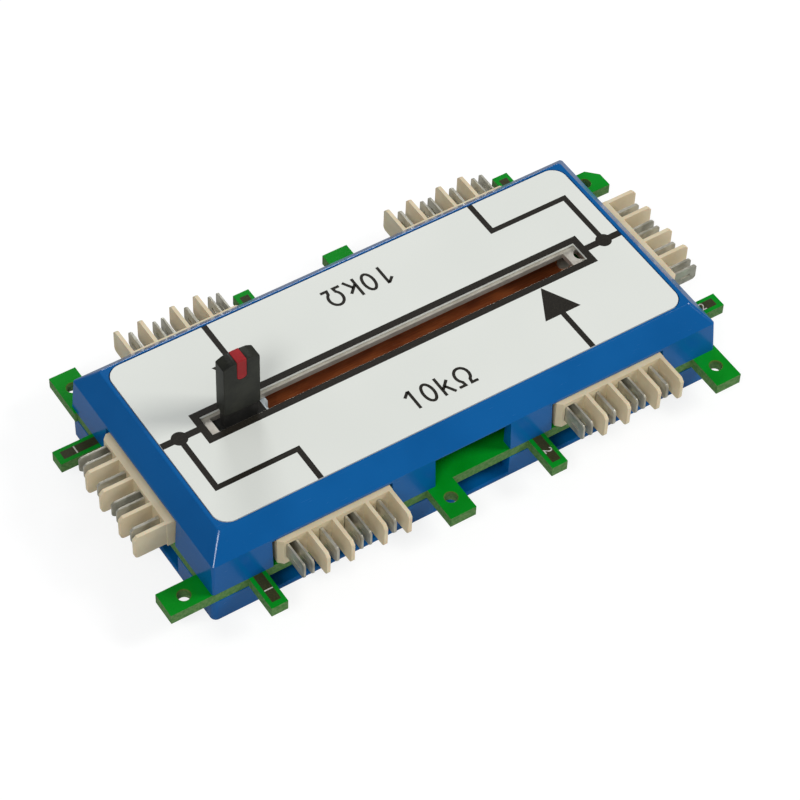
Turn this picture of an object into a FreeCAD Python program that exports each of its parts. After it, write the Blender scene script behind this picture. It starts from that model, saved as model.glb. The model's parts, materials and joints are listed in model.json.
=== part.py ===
import FreeCAD, Part
import math
import os
import Sketcher

# A slide potentiometer built into a plug-together electronics block.
# Two moulded shells clamp a circuit board whose edge carries six plug connectors.
# The potentiometer stands on the board, and its slot shows through the printed face label.
# Millimetres. X runs along the slider's travel, Y to the back and Z up.
# The origin is the middle of the underside.

Vector = FreeCAD.Vector

# Sizes
SIZES = [
    ("grid_pitch", 40.0, "side of one grid module; the block covers two"),
    ("shell_length", 73.5, "outer length of both shells"),
    ("shell_width", 34.3, "outer width of both shells"),
    ("corner_radius", 0.8, "upright corners of the shells"),
    ("shell_wall", 1.5, "side wall of both shells"),
    ("floor_thickness", 0.6, "floor of the lower shell"),
    ("lower_height", 3.6, "height of the lower shell"),
    ("foot_round", 0.15, "round along the lower shell's bottom edge"),
    ("sill_chamfer", 0.2, "slope on the floor's edge inside each lower window"),
    ("skirt_height", 5.5, "upright part of the upper shell"),
    ("bevel_run", 2.6, "how far the bevel runs in to the rim"),
    ("rim_round", 0.3, "round along the rim"),
    ("roof_thickness", 1.2, "roof of the upper shell below the label"),
    ("board_thickness", 1.6, "circuit board"),
    ("board_inset", 0.1, "how far the board stands back between the shells"),
    ("tab_reach", 22.3, "module centre to the end of a tab"),
    ("key_tab_width", 2.3, "narrow tab"),
    ("key_tab_place", 10.65, "narrow tab, sideways from the module centre"),
    ("hole_tab_width", 3.7, "tab with a hole"),
    ("tab_hole", 1.7, "hole in a tab"),
    ("tab_hole_place", 15.2, "tab hole, sideways from the module centre"),
    ("tab_hole_edge", 2.8, "middle of a tab hole to the end of its tab"),
    ("tab_corner_cut", 1.5, "cut corner of one hole tab"),
    ("label_thickness", 0.4, "printed face label"),
    ("label_radius", 2.0, "corners of the label"),
    ("label_margin", 0.65, "rim to the edge of the label"),
    ("label_gap", 0.15, "gap all round the label in its recess"),
    ("window_run_out", 9.7, "opening in the label beyond the travel, both ends together"),
    ("window_width", 3.1, "opening in the label"),
    ("middle_window_width", 11.0, "opening in the middle of each long side"),
    ("middle_window_height", 4.6, "opening in the middle of each long side"),
    ("lower_window_width", 17.8, "opening under each connector"),
    ("post_diameter", 3.0, "locating post"),
    ("post_place_x", 32.5, "locating post"),
    ("post_place_y", 12.3, "locating post"),
    ("post_rise", 3.6, "how far a post reaches into its boss"),
    ("post_fit", 0.1, "gap round a post in the board"),
    ("boss_diameter", 5.2, "boss that takes a post"),
    ("contact_pitch", 4.0, "one contact to the next"),
    ("housing_height", 4.2, "connector housing above the board"),
    ("housing_back", 15.3, "module centre to the back of a housing"),
    ("housing_face", 17.5, "module centre to the face of a housing"),
    ("housing_corner_cut", 0.6, "cut corner at the left end of a housing"),
    ("housing_trim", 0.25, "how much a housing ends short at its left"),
    ("housing_gap", 0.4, "gap at each end of a housing in the shell"),
    ("housing_gap_top", 0.2, "gap above a housing in the shell"),
    ("divider_reach", 21.9, "module centre to the tip of a divider"),
    ("divider_thickness", 0.5, "divider between contacts"),
    ("divider_offset", 0.3, "how far a divider stands from the middle between contacts"),
    ("divider_low", 0.45, "underside of a divider above the board"),
    ("divider_tip_cut", 0.5, "cut corner on a divider's tip"),
    ("divider_tip_round", 0.6, "round on a divider's tip"),
    ("contact_sheet", 0.3, "sheet metal of a fork leaf"),
    ("fork_gap", 0.9, "gap between the leaves of a fork"),
    ("blade_thickness", 0.4, "blade contact"),
    ("contact_low", 0.95, "lower edge of a contact above the board"),
    ("contact_high", 3.5, "upper edge of a contact above the board"),
    ("contact_reach", 21.3, "module centre to the tip of a contact"),
    ("contact_back", 14.7, "module centre to the back of a contact"),
    ("contact_tip_cut", 0.35, "cut corners on a contact's tip"),
    ("contact_foot", 0.9, "solder foot behind a contact"),
    ("contact_fit", 0.05, "gap round a contact in its housing"),
    ("relief_length", 1.4, "slot pressed through a contact near its tip"),
    ("relief_width", 0.3, "slot pressed through a contact near its tip"),
    ("relief_place", 19.6, "module centre to the middle of that slot"),
    ("relief_height", 2.1, "that slot above the board"),
    ("pot_shift", -0.3, "middle of the potentiometer along X"),
    ("travel", 45.0, "travel of the slider"),
    ("cover_run_out", 15.0, "steel cover beyond the travel, both ends together"),
    ("cover_width", 11.0, "steel cover"),
    ("cover_height", 7.1, "top of the steel cover above the board"),
    ("cover_sheet", 0.8, "sheet steel of the cover"),
    ("cover_bend", 0.6, "outer round of the cover's bends"),
    ("cover_lift", 0.3, "lower edge of the cover's sides above the board"),
    ("cover_slot_run_out", 6.7, "slot in the cover beyond the travel, both ends together"),
    ("cover_slot_width", 2.35, "slot in the cover"),
    ("fixing_hole", 1.8, "hole at each end of the cover"),
    ("fixing_edge", 2.25, "middle of that hole to the end of the cover"),
    ("cover_label_gap", 0.1, "cover to the underside of the label"),
    ("cover_window_gap", 0.3, "gap round the cover in the upper shell"),
    ("end_lug_height", 2.6, "lug bent down at each end of the cover"),
    ("leg_width", 1.6, "solder leg of the cover"),
    ("leg_place", 22.0, "solder leg of the cover"),
    ("leg_fit", 0.2, "gap round a leg in the board"),
    ("lead_length", 0.9, "how far legs and pins stand out below the board"),
    ("track_board_gap", 1.0, "end of the track board to the end of the cover"),
    ("track_board_thickness", 1.6, "track board"),
    ("track_board_lift", 0.2, "track board above the circuit board"),
    ("track_thickness", 0.08, "printed track"),
    ("resistive_width", 1.9, "resistive track"),
    ("collector_width", 1.3, "collector track"),
    ("track_margin", 1.3, "middle of each track to the cover's inner side"),
    ("pin_diameter", 0.9, "terminal pin"),
    ("pin_head_diameter", 1.8, "rivet head of a pin"),
    ("pin_head_height", 0.3, "rivet head of a pin"),
    ("pin_edge", 1.0, "middle of a terminal pin to the end of the track board"),
    ("pin_fit", 0.15, "gap round a pin in the board"),
    ("solder_width", 0.55, "solder beyond a pin or leg"),
    ("solder_height", 0.7, "solder below the board"),
    ("carriage_length", 9.0, "slider carriage"),
    ("carriage_gap", 0.15, "running gap round the carriage"),
    ("carriage_notch", 1.5, "round notch in each end of the carriage"),
    ("carriage_cavity_length", 6.4, "hollow under the carriage"),
    ("carriage_cavity_width", 8.4, "hollow under the carriage"),
    ("carriage_cavity_height", 1.6, "hollow under the carriage"),
    ("wiper_sheet", 0.2, "spring sheet of a wiper"),
    ("wiper_width", 1.1, "one wiper arm"),
    ("wiper_gap", 0.05, "wiper tip above its track"),
    ("lever_width", 3.6, "lever's tongue in the knob"),
    ("lever_neck_width", 4.6, "lever between the carriage and the knob"),
    ("lever_foot_length", 7.2, "lever's foot, flush with the carriage's top"),
    ("lever_foot_width", 3.0, "lever's foot, flush with the carriage's top"),
    ("lever_thickness", 1.0, "lever"),
    ("lever_root", 1.4, "how deep the lever sits in the carriage"),
    ("knob_width", 5.0, "knob along X"),
    ("knob_depth", 2.0, "knob along Y"),
    ("knob_height", 8.8, "knob"),
    ("knob_clearance", 1.4, "underside of the knob above the label"),
    ("knob_shoulder_run", 0.8, "cut top corners of the knob"),
    ("knob_shoulder_drop", 0.4, "cut top corners of the knob"),
    ("knob_crown", 0.12, "arch of the knob's top"),
    ("knob_bore_depth", 5.4, "how deep the lever sits in the knob"),
    ("marker_width", 1.3, "pointer line on the knob"),
    ("marker_depth", 0.25, "pointer line on the knob"),
    ("marker_drop", 3.2, "how far the pointer line runs down the knob"),
    ("marker_round", 0.5, "lower end of the pointer line"),
]


class Size:
    """A size as a formula of the sheet's cells, with its value for the first drawing of a sketch."""

    def __init__(self, formula, value):
        self.formula = formula
        self.value = value

    def join(self, sign, other, value):
        return Size("(%s %s %s)" % (self.formula, sign, other.formula), value)

    def __add__(self, other):
        other = as_size(other)
        return self.join("+", other, self.value + other.value)

    def __sub__(self, other):
        other = as_size(other)
        return self.join("-", other, self.value - other.value)

    def __mul__(self, other):
        other = as_size(other)
        return self.join("*", other, self.value * other.value)

    def __truediv__(self, other):
        other = as_size(other)
        return self.join("/", other, self.value / other.value)

    def __radd__(self, other):
        return as_size(other) + self

    def __rsub__(self, other):
        return as_size(other) - self

    def __rmul__(self, other):
        return as_size(other) * self

    def __neg__(self):
        return Size("(-1 * %s)" % self.formula, -self.value)


def as_size(number):
    if isinstance(number, Size):
        return number
    return Size("(%.9g)" % number, float(number))


# The document and its sheet of sizes
doc = FreeCAD.newDocument("SlidePotentiometer")
sheet = doc.addObject("Spreadsheet::Sheet", "Sizes")
size = {}
for row, (alias, value, meaning) in enumerate(SIZES, start=1):
    sheet.set("A%d" % row, alias)
    sheet.set("B%d" % row, "%.9g" % value)
    sheet.set("C%d" % row, meaning)
    sheet.setAlias("B%d" % row, alias)
    size[alias] = Size("Sizes." + alias, value)
doc.recompute()

# Levels and half sizes that several pieces share
board_low = size["lower_height"]
board_top = size["lower_height"] + size["board_thickness"]
half_length = size["shell_length"] / 2
half_width = size["shell_width"] / 2
half_pitch = size["grid_pitch"] / 2
rim_height = size["cover_height"] + size["cover_label_gap"] + size["label_thickness"]
rim_half_length = half_length - size["bevel_run"]
rim_half_width = half_width - size["bevel_run"]
label_half_length = rim_half_length - size["label_margin"]
label_half_width = rim_half_width - size["label_margin"]
cover_underside = size["cover_height"] - size["cover_sheet"]
cover_inner_half = size["cover_width"] / 2 - size["cover_sheet"]
track_board_top = size["track_board_lift"] + size["track_board_thickness"]
track_top = track_board_top + size["track_thickness"]
housing_half = 2 * size["contact_pitch"]
tab_hole_reach = size["tab_reach"] - size["tab_hole_edge"]
track_place = cover_inner_half - size["track_margin"]
slider_rest = size["pot_shift"] - size["travel"] / 2
window_length = size["travel"] + size["window_run_out"]
cover_length = size["travel"] + size["cover_run_out"]
cover_slot_length = size["travel"] + size["cover_slot_run_out"]
fixing_place = cover_length / 2 - size["fixing_edge"]
track_board_length = cover_length - 2 * size["track_board_gap"]
pin_place = track_board_length / 2 - size["pin_edge"]
track_length = 2 * pin_place - size["pin_head_diameter"]

# Each module side of the block that carries a connector: its name, which module, and its turn about Z
SIDES = [
    ("front_left", -1, 0),
    ("front_right", 1, 0),
    ("right", 1, 90),
    ("back_right", 1, 180),
    ("back_left", -1, 180),
    ("left", -1, -90),
]


def side_point(side, sideways, outwards):
    """The point beside a module's centre, sideways to the right as seen from outside."""
    name, module, turn = side
    centre = module * half_pitch
    if turn == 0:
        return centre + sideways, -outwards
    if turn == 180:
        return centre - sideways, outwards
    if turn == 90:
        return centre + outwards, sideways
    return centre - outwards, -sideways


def side_edge(side):
    """How far the shells' outer face is from the module's centre on this side."""
    if side[2] in (0, 180):
        return half_width
    return half_length - half_pitch


# Sketches and features
def new_body(label, x=0, y=0, z=0, turn=0):
    body = doc.addObject("PartDesign::Body", label)
    body.Label = label
    body.Placement = FreeCAD.Placement(Vector(0, 0, 0), FreeCAD.Rotation(Vector(0, 0, 1), turn))
    for axis, place in (("x", x), ("y", y), ("z", z)):
        body.setExpression("Placement.Base." + axis, as_size(place).formula)
    return body


def new_sketch(body, plane="XY_Plane", offset=0):
    sketch = body.newObject("Sketcher::SketchObject", "Sketch")
    support = [item for item in body.Origin.OriginFeatures if item.Role == plane]
    sketch.AttachmentSupport = [(support[0], "")]
    sketch.MapMode = "FlatFace"
    sketch.setExpression("AttachmentOffset.Base.z", as_size(offset).formula)
    return sketch


def tie(sketch, kind, arguments, length):
    length = as_size(length)
    index = sketch.addConstraint(Sketcher.Constraint(kind, *arguments, length.value))
    name = "c%d" % index
    sketch.renameConstraint(index, name)
    sketch.setExpression("Constraints." + name, length.formula)


def pin(sketch, line, end, point):
    tie(sketch, "DistanceX", (-1, 1, line, end), point[0])
    tie(sketch, "DistanceY", (-1, 1, line, end), point[1])


def flat(point):
    return Vector(as_size(point[0]).value, as_size(point[1]).value, 0)


def polygon(sketch, points):
    """A closed outline of straight lines, every corner tied to the sheet."""
    count = len(points)
    lines = []
    for index, point in enumerate(points):
        after = points[(index + 1) % count]
        lines.append(sketch.addGeometry(Part.LineSegment(flat(point), flat(after)), False))
    for index, line in enumerate(lines):
        after = lines[(index + 1) % count]
        sketch.addConstraint(Sketcher.Constraint("Coincident", line, 2, after, 1))
        pin(sketch, line, 1, points[index])


def rectangle(sketch, low, high):
    polygon(sketch, [(low[0], low[1]), (high[0], low[1]), (high[0], high[1]), (low[0], high[1])])


def centred_rectangle(sketch, middle, length, width):
    half_x = as_size(length) / 2
    half_y = as_size(width) / 2
    low = (middle[0] - half_x, middle[1] - half_y)
    high = (middle[0] + half_x, middle[1] + half_y)
    rectangle(sketch, low, high)


def circle(sketch, centre, diameter):
    radius = as_size(diameter) / 2
    ring = sketch.addGeometry(Part.Circle(flat(centre), Vector(0, 0, 1), radius.value), False)
    pin(sketch, ring, 3, centre)
    tie(sketch, "Radius", (ring,), radius)


def rounded_rectangle(sketch, half_x, half_y, radius):
    """A rectangle about the origin with round corners."""
    inner_x = half_x - radius
    inner_y = half_y - radius
    runs = [
        ((-inner_x, -half_y), (inner_x, -half_y)),
        ((half_x, -inner_y), (half_x, inner_y)),
        ((inner_x, half_y), (-inner_x, half_y)),
        ((-half_x, inner_y), (-half_x, -inner_y)),
    ]
    centres = [(inner_x, -inner_y), (inner_x, inner_y), (-inner_x, inner_y), (-inner_x, -inner_y)]
    lines = []
    for start, end in runs:
        line = sketch.addGeometry(Part.LineSegment(flat(start), flat(end)), False)
        pin(sketch, line, 1, start)
        pin(sketch, line, 2, end)
        lines.append(line)
    for corner, centre in enumerate(centres):
        start_angle = math.radians(90 * corner - 90)
        ring = Part.Circle(flat(centre), Vector(0, 0, 1), as_size(radius).value)
        arc = sketch.addGeometry(Part.ArcOfCircle(ring, start_angle, start_angle + math.pi / 2), False)
        sketch.addConstraint(Sketcher.Constraint("Coincident", arc, 1, lines[corner], 2))
        sketch.addConstraint(Sketcher.Constraint("Coincident", arc, 2, lines[(corner + 1) % 4], 1))
        tie(sketch, "Radius", (arc,), radius)


def renew(*items):
    """Work out only what has changed; the whole document is recomputed once, at the end."""
    for item in items:
        item.recompute()


def feature(body, kind, sketch, length, both_ways=False, reverse=False):
    made = body.newObject("PartDesign::" + kind, kind)
    made.Profile = sketch
    made.setExpression("Length", as_size(length).formula)
    if both_ways:
        made.SideType = "Symmetric"
    made.Reversed = reverse
    renew(sketch, made, body)
    return made


def pad(body, sketch, length, both_ways=False, reverse=False):
    return feature(body, "Pad", sketch, length, both_ways, reverse)


def pocket(body, sketch, length, both_ways=False, reverse=False):
    before = body.Shape.Volume
    made = feature(body, "Pocket", sketch, length, both_ways, reverse)
    if body.Shape.Volume >= before:
        raise ValueError("a pocket in %s cuts nothing" % body.Label)
    return made


def loft(body, kind, low_sketch, high_sketch):
    made = body.newObject("PartDesign::" + kind, kind)
    made.Profile = low_sketch
    made.Sections = [high_sketch]
    made.Ruled = True
    renew(low_sketch, high_sketch, made, body)
    return made


def dress(body, kind, amount, chosen):
    """Round or cut the edges of the body for which chosen(edge) is true."""
    base = body.Tip
    names = ["Edge%d" % (i + 1) for i, edge in enumerate(base.Shape.Edges) if chosen(edge)]
    made = body.newObject("PartDesign::" + kind, kind)
    made.Base = (base, names)
    made.setExpression({"Fillet": "Radius", "Chamfer": "Size"}[kind], as_size(amount).formula)
    renew(made, body)
    return made


def pattern(body, originals, axis, length, count):
    """Copies along an axis. The copies of a lone piece stay separate solids."""
    made = body.newObject("PartDesign::LinearPattern", "LinearPattern")
    made.Originals = originals
    line = [item for item in body.Origin.OriginFeatures if item.Role == axis]
    made.Direction = (line[0], [""])
    made.setExpression("Length", as_size(length).formula)
    made.Occurrences = count
    body.Tip = made
    renew(made, body)
    return made


def mirror(body, originals, plane):
    made = body.newObject("PartDesign::Mirrored", "Mirrored")
    made.Originals = originals
    support = [item for item in body.Origin.OriginFeatures if item.Role == plane]
    made.MirrorPlane = (support[0], [""])
    body.Tip = made
    renew(made, body)
    return made


def near(first, second):
    return abs(first - second) < 0.001


def lies_at(edge, height):
    box = edge.BoundBox
    return near(box.ZMin, height) and near(box.ZMax, height)


def four_corners(x, y):
    return [(-x, -y), (x, -y), (x, y), (-x, y)]


posts = four_corners(size["post_place_x"], size["post_place_y"])


# Lower shell
def make_lower_shell():
    body = new_body("lower_shell")
    outline = new_sketch(body)
    rounded_rectangle(outline, half_length, half_width, size["corner_radius"])
    pad(body, outline, size["lower_height"])
    dress(body, "Fillet", size["foot_round"], lambda edge: lies_at(edge, 0))

    hollow = new_sketch(body, offset=size["lower_height"])
    wall = size["shell_wall"]
    rectangle(hollow, (wall - half_length, wall - half_width), (half_length - wall, half_width - wall))
    pocket(body, hollow, size["lower_height"] - size["floor_thickness"])

    windows = new_sketch(body, offset=size["lower_height"])
    beyond = size["shell_wall"]
    for side in SIDES:
        half_window = size["lower_window_width"] / 2
        inner = side_edge(side) - wall - beyond
        outer = side_edge(side) + beyond
        corners = [(-half_window, inner), (half_window, inner), (half_window, outer), (-half_window, outer)]
        polygon(windows, [side_point(side, *corner) for corner in corners])
    for away in (-1, 1):
        middle = (as_size(0), away * half_width)
        centred_rectangle(windows, middle, size["middle_window_width"], 2 * (wall + beyond))
    pocket(body, windows, size["lower_height"] - size["floor_thickness"])

    floor_level = size["floor_thickness"].value

    def on_sill(edge):
        box = edge.BoundBox
        along_front = near(abs(box.YMin), half_width.value) and near(box.YMin, box.YMax)
        along_end = near(abs(box.XMin), half_length.value) and near(box.XMin, box.XMax)
        return lies_at(edge, floor_level) and (along_front or along_end)

    dress(body, "Chamfer", size["sill_chamfer"], on_sill)

    pegs = new_sketch(body, offset=size["floor_thickness"])
    for post in posts:
        circle(pegs, post, size["post_diameter"])
    reach = board_top + size["post_rise"] - size["floor_thickness"]
    pad(body, pegs, reach)
    return body


# Circuit board
def make_circuit_board():
    body = new_body("circuit_board", z=board_low)
    outline = new_sketch(body)
    inset = size["board_inset"]
    rectangle(outline, (inset - half_length, inset - half_width), (half_length - inset, half_width - inset))
    pad(body, outline, size["board_thickness"])

    tabs = new_sketch(body)
    for side in SIDES:
        inner = side_edge(side) - size["shell_wall"]
        outer = size["tab_reach"]
        for place, width in (
            (-size["key_tab_place"], size["key_tab_width"]),
            (size["tab_hole_place"], size["hole_tab_width"]),
        ):
            left = place - width / 2
            right = place + width / 2
            corners = [(left, inner), (right, inner), (right, outer), (left, outer)]
            polygon(tabs, [side_point(side, *corner) for corner in corners])
    pad(body, tabs, size["board_thickness"])

    cut_side = SIDES[2]
    cut_x, cut_y = side_point(cut_side, size["tab_hole_place"] + size["hole_tab_width"] / 2, size["tab_reach"])

    def on_cut_corner(edge):
        box = edge.BoundBox
        upright = near(box.XMin, box.XMax) and near(box.YMin, box.YMax)
        return upright and near(box.XMin, cut_x.value) and near(box.YMin, cut_y.value)

    dress(body, "Chamfer", size["tab_corner_cut"], on_cut_corner)

    holes = new_sketch(body, offset=size["board_thickness"])
    for side in SIDES:
        circle(holes, side_point(side, size["tab_hole_place"], tab_hole_reach), size["tab_hole"])
    for post in posts:
        circle(holes, post, size["post_diameter"] + 2 * size["post_fit"])
    for point in pin_points():
        shifted = (point[0] + size["pot_shift"], point[1])
        circle(holes, shifted, size["pin_diameter"] + 2 * size["pin_fit"])
    for point in leg_points():
        shifted = (point[0] + size["pot_shift"], point[1])
        gap = 2 * size["leg_fit"]
        centred_rectangle(holes, shifted, size["leg_width"] + gap, size["cover_sheet"] + gap)
    pocket(body, holes, size["board_thickness"])
    return body


def pin_points():
    """Terminal pins about the potentiometer's middle: both ends of one track, one end of the other."""
    x = pin_place
    y = track_place
    return [(-x, y), (x, y), (-x, -y)]


def leg_points():
    return four_corners(size["leg_place"], (size["cover_width"] - size["cover_sheet"]) / 2)


# Upper shell
def make_upper_shell():
    body = new_body("upper_shell", z=board_top)
    wall = size["shell_wall"]
    skirt = new_sketch(body)
    rounded_rectangle(skirt, half_length, half_width, size["corner_radius"])
    pad(body, skirt, size["skirt_height"])

    bevel_low = new_sketch(body, offset=size["skirt_height"])
    rounded_rectangle(bevel_low, half_length, half_width, size["corner_radius"])
    bevel_high = new_sketch(body, offset=rim_height)
    rounded_rectangle(bevel_high, rim_half_length, rim_half_width, size["corner_radius"] / 2)
    loft(body, "AdditiveLoft", bevel_low, bevel_high)
    dress(body, "Fillet", size["rim_round"], lambda edge: lies_at(edge, rim_height.value))

    # The hollow follows the skirt and then the bevel
    slope = size["bevel_run"] / (rim_height - size["skirt_height"])
    ceiling = rim_height - size["label_thickness"] - size["roof_thickness"]
    turn_level = size["skirt_height"] - wall / 2
    run_in = (ceiling - turn_level) * slope
    inner_x = half_length - wall
    inner_y = half_width - wall
    hollow = new_sketch(body)
    rectangle(hollow, (-inner_x, -inner_y), (inner_x, inner_y))
    pocket(body, hollow, turn_level, reverse=True)
    hollow_low = new_sketch(body, offset=turn_level)
    rectangle(hollow_low, (-inner_x, -inner_y), (inner_x, inner_y))
    hollow_high = new_sketch(body, offset=ceiling)
    rectangle(hollow_high, (run_in - inner_x, run_in - inner_y), (inner_x - run_in, inner_y - run_in))
    loft(body, "SubtractiveLoft", hollow_low, hollow_high)

    # Bosses that take the lower shell's posts
    bosses = new_sketch(body)
    for post in posts:
        circle(bosses, post, size["boss_diameter"])
    pad(body, bosses, ceiling)
    sockets = new_sketch(body)
    for post in posts:
        circle(sockets, post, size["post_diameter"])
    pocket(body, sockets, size["post_rise"] + size["post_fit"], reverse=True)

    # Notches for the connectors, and the opening in the middle of each long side
    notches = new_sketch(body)
    half_notch = housing_half + size["housing_gap"]
    for side in SIDES:
        inner = side_edge(side) - 2 * wall
        outer = side_edge(side) + wall
        corners = [(-half_notch, inner), (half_notch, inner), (half_notch, outer), (-half_notch, outer)]
        polygon(notches, [side_point(side, *corner) for corner in corners])
    pocket(body, notches, size["housing_height"] + size["housing_gap_top"], reverse=True)
    middles = new_sketch(body)
    for away in (-1, 1):
        middle = (as_size(0), away * half_width)
        centred_rectangle(middles, middle, size["middle_window_width"], 4 * wall)
    pocket(body, middles, size["middle_window_height"], reverse=True)

    # Recess for the label, and the opening that the potentiometer's cover stands in
    recess = new_sketch(body, offset=rim_height)
    gap = size["label_gap"]
    recess_radius = size["label_radius"] + gap
    rounded_rectangle(recess, label_half_length + gap, label_half_width + gap, recess_radius)
    pocket(body, recess, size["label_thickness"])
    cover_window = new_sketch(body, offset=rim_height)
    play = 2 * size["cover_window_gap"]
    middle = (size["pot_shift"], as_size(0))
    centred_rectangle(cover_window, middle, cover_length + play, size["cover_width"] + play)
    pocket(body, cover_window, rim_height - ceiling)
    return body


# Face label
def make_face_label():
    body = new_body("face_label", z=board_top + rim_height - size["label_thickness"])
    outline = new_sketch(body)
    rounded_rectangle(outline, label_half_length, label_half_width, size["label_radius"])
    pad(body, outline, size["label_thickness"])
    window = new_sketch(body, offset=size["label_thickness"])
    centred_rectangle(window, (as_size(0), as_size(0)), window_length, size["window_width"])
    pocket(body, window, size["label_thickness"])
    return body


# Edge connectors: any of them plugs into a second one that faces it
def connector_body(name, side):
    return new_body("%s_%s" % (name, side[0]), x=side[1] * half_pitch, z=board_top, turn=side[2])


def make_housing(side):
    """A housing's face looks along its own -Y, and its contacts stand at half pitches either side."""
    body = connector_body("connector_housing", side)
    pitch = size["contact_pitch"]
    face = -size["housing_face"]
    back = -size["housing_back"]
    cut = size["housing_corner_cut"]
    block = new_sketch(body)
    left = size["housing_trim"] - housing_half
    corners = [(left + cut, face), (housing_half, face), (housing_half, back), (left, back), (left, face + cut)]
    polygon(block, corners)
    pad(body, block, size["housing_height"])

    # Two dividers stand either side of each blade, and each pair repeats two contacts further on
    tip = -size["divider_reach"]
    low = size["divider_low"]
    high = size["housing_height"]
    tip_cut = size["divider_tip_cut"]
    profile = [(back, low), (tip, low), (tip, high - tip_cut), (tip + tip_cut, high), (back, high)]
    offset = size["divider_offset"]
    dividers = []
    for place in (offset - pitch, -offset):
        divider = new_sketch(body, "YZ_Plane", offset=place)
        polygon(divider, profile)
        dividers.append(pad(body, divider, size["divider_thickness"], both_ways=True))
    pattern(body, dividers, "X_Axis", 2 * pitch, 2)

    def on_lower_tip(edge):
        box = edge.BoundBox
        return near(box.YMin, tip.value) and near(box.YMax, tip.value) and lies_at(edge, low.value)

    dress(body, "Fillet", size["divider_tip_round"], on_lower_tip)

    # Slots that the contacts are pressed through
    slots = new_sketch(body, "XZ_Plane", offset=size["housing_face"])
    gap = size["contact_fit"]
    fork_half = size["fork_gap"] / 2 + size["contact_sheet"] + gap
    blade_half = size["blade_thickness"] / 2 + gap
    for index, half in ((-1.5, fork_half), (-0.5, blade_half), (0.5, fork_half), (1.5, blade_half)):
        middle = index * pitch
        low_corner = (middle - half, size["contact_low"] - gap)
        high_corner = (middle + half, size["contact_high"] + gap)
        rectangle(slots, low_corner, high_corner)
    pocket(body, slots, size["housing_face"] - size["housing_back"])
    return body


def contact_outline():
    """The flat side of a contact: its tip's corners are cut so that it finds its way in."""
    tip = -size["contact_reach"]
    back = -size["contact_back"]
    low = size["contact_low"]
    high = size["contact_high"]
    cut = size["contact_tip_cut"]
    return [(back, low), (tip + cut, low), (tip, low + cut), (tip, high - cut), (tip + cut, high), (back, high)]


def contact_tail(sheet_thickness):
    """The upright back of a contact and the foot that is soldered to the board."""
    back = -size["contact_back"]
    foot = back + size["contact_foot"]
    high = size["contact_high"]
    inner = back + sheet_thickness
    return [(back, 0), (foot, 0), (foot, sheet_thickness), (inner, sheet_thickness), (inner, high), (back, high)]


def press_relief(body, width):
    slot = new_sketch(body, "YZ_Plane")
    middle = (-size["relief_place"], size["relief_height"])
    centred_rectangle(slot, middle, size["relief_length"], size["relief_width"])
    return pocket(body, slot, width, both_ways=True)


def make_forks(side):
    body = connector_body("fork_contacts", side)
    pitch = size["contact_pitch"]
    leaf_place = (size["fork_gap"] + size["contact_sheet"]) / 2
    parts = []
    for index in (-1.5, 0.5):
        for away in (-1, 1):
            leaf = new_sketch(body, "YZ_Plane", offset=index * pitch + away * leaf_place)
            polygon(leaf, contact_outline())
            parts.append(pad(body, leaf, size["contact_sheet"], both_ways=True))
        tail = new_sketch(body, "YZ_Plane", offset=index * pitch)
        polygon(tail, contact_tail(size["contact_sheet"]))
        parts.append(pad(body, tail, size["fork_gap"] + 2 * size["contact_sheet"], both_ways=True))
    press_relief(body, 4 * pitch)
    return body


def make_blades(side):
    body = connector_body("blade_contacts", side)
    pitch = size["contact_pitch"]
    for index in (-0.5, 1.5):
        blade = new_sketch(body, "YZ_Plane", offset=index * pitch)
        polygon(blade, contact_outline())
        pad(body, blade, size["blade_thickness"], both_ways=True)
        tail = new_sketch(body, "YZ_Plane", offset=index * pitch)
        polygon(tail, contact_tail(size["contact_sheet"]))
        pad(body, tail, size["fork_gap"] + 2 * size["contact_sheet"], both_ways=True)
    press_relief(body, 4 * pitch)
    return body


# The potentiometer's fixed parts
def pot_body(label):
    return new_body(label, x=size["pot_shift"], z=board_top)


def make_steel_cover():
    body = pot_body("steel_cover")
    top = new_sketch(body, offset=cover_underside)
    origin = (as_size(0), as_size(0))
    centred_rectangle(top, origin, cover_length, size["cover_width"])
    pad(body, top, size["cover_sheet"])

    # Sides, end lugs and legs are bent down from the top
    wall_half = (size["cover_width"] - size["cover_sheet"]) / 2
    sides = new_sketch(body, offset=cover_underside)
    for away in (-1, 1):
        centred_rectangle(sides, (as_size(0), away * wall_half), cover_length, size["cover_sheet"])
    pad(body, sides, cover_underside - size["cover_lift"], reverse=True)
    lugs = new_sketch(body, offset=cover_underside)
    lug_place = (cover_length - size["cover_sheet"]) / 2
    lug_width = size["cover_width"] - 4 * size["cover_sheet"]
    for away in (-1, 1):
        centred_rectangle(lugs, (away * lug_place, as_size(0)), size["cover_sheet"], lug_width)
    pad(body, lugs, size["end_lug_height"], reverse=True)
    legs = new_sketch(body, offset=size["cover_lift"])
    for point in leg_points():
        centred_rectangle(legs, point, size["leg_width"], size["cover_sheet"])
    leg_length = size["cover_lift"] + size["board_thickness"] + size["lead_length"]
    pad(body, legs, leg_length, reverse=True)

    def on_long_bend(edge):
        box = edge.BoundBox
        outer = near(abs(box.YMin), size["cover_width"].value / 2) and near(box.YMin, box.YMax)
        return outer and lies_at(edge, size["cover_height"].value)

    dress(body, "Fillet", size["cover_bend"], on_long_bend)

    openings = new_sketch(body, offset=size["cover_height"])
    centred_rectangle(openings, origin, cover_slot_length, size["cover_slot_width"])
    for away in (-1, 1):
        circle(openings, (away * fixing_place, as_size(0)), size["fixing_hole"])
    pocket(body, openings, size["cover_sheet"])
    return body


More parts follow.
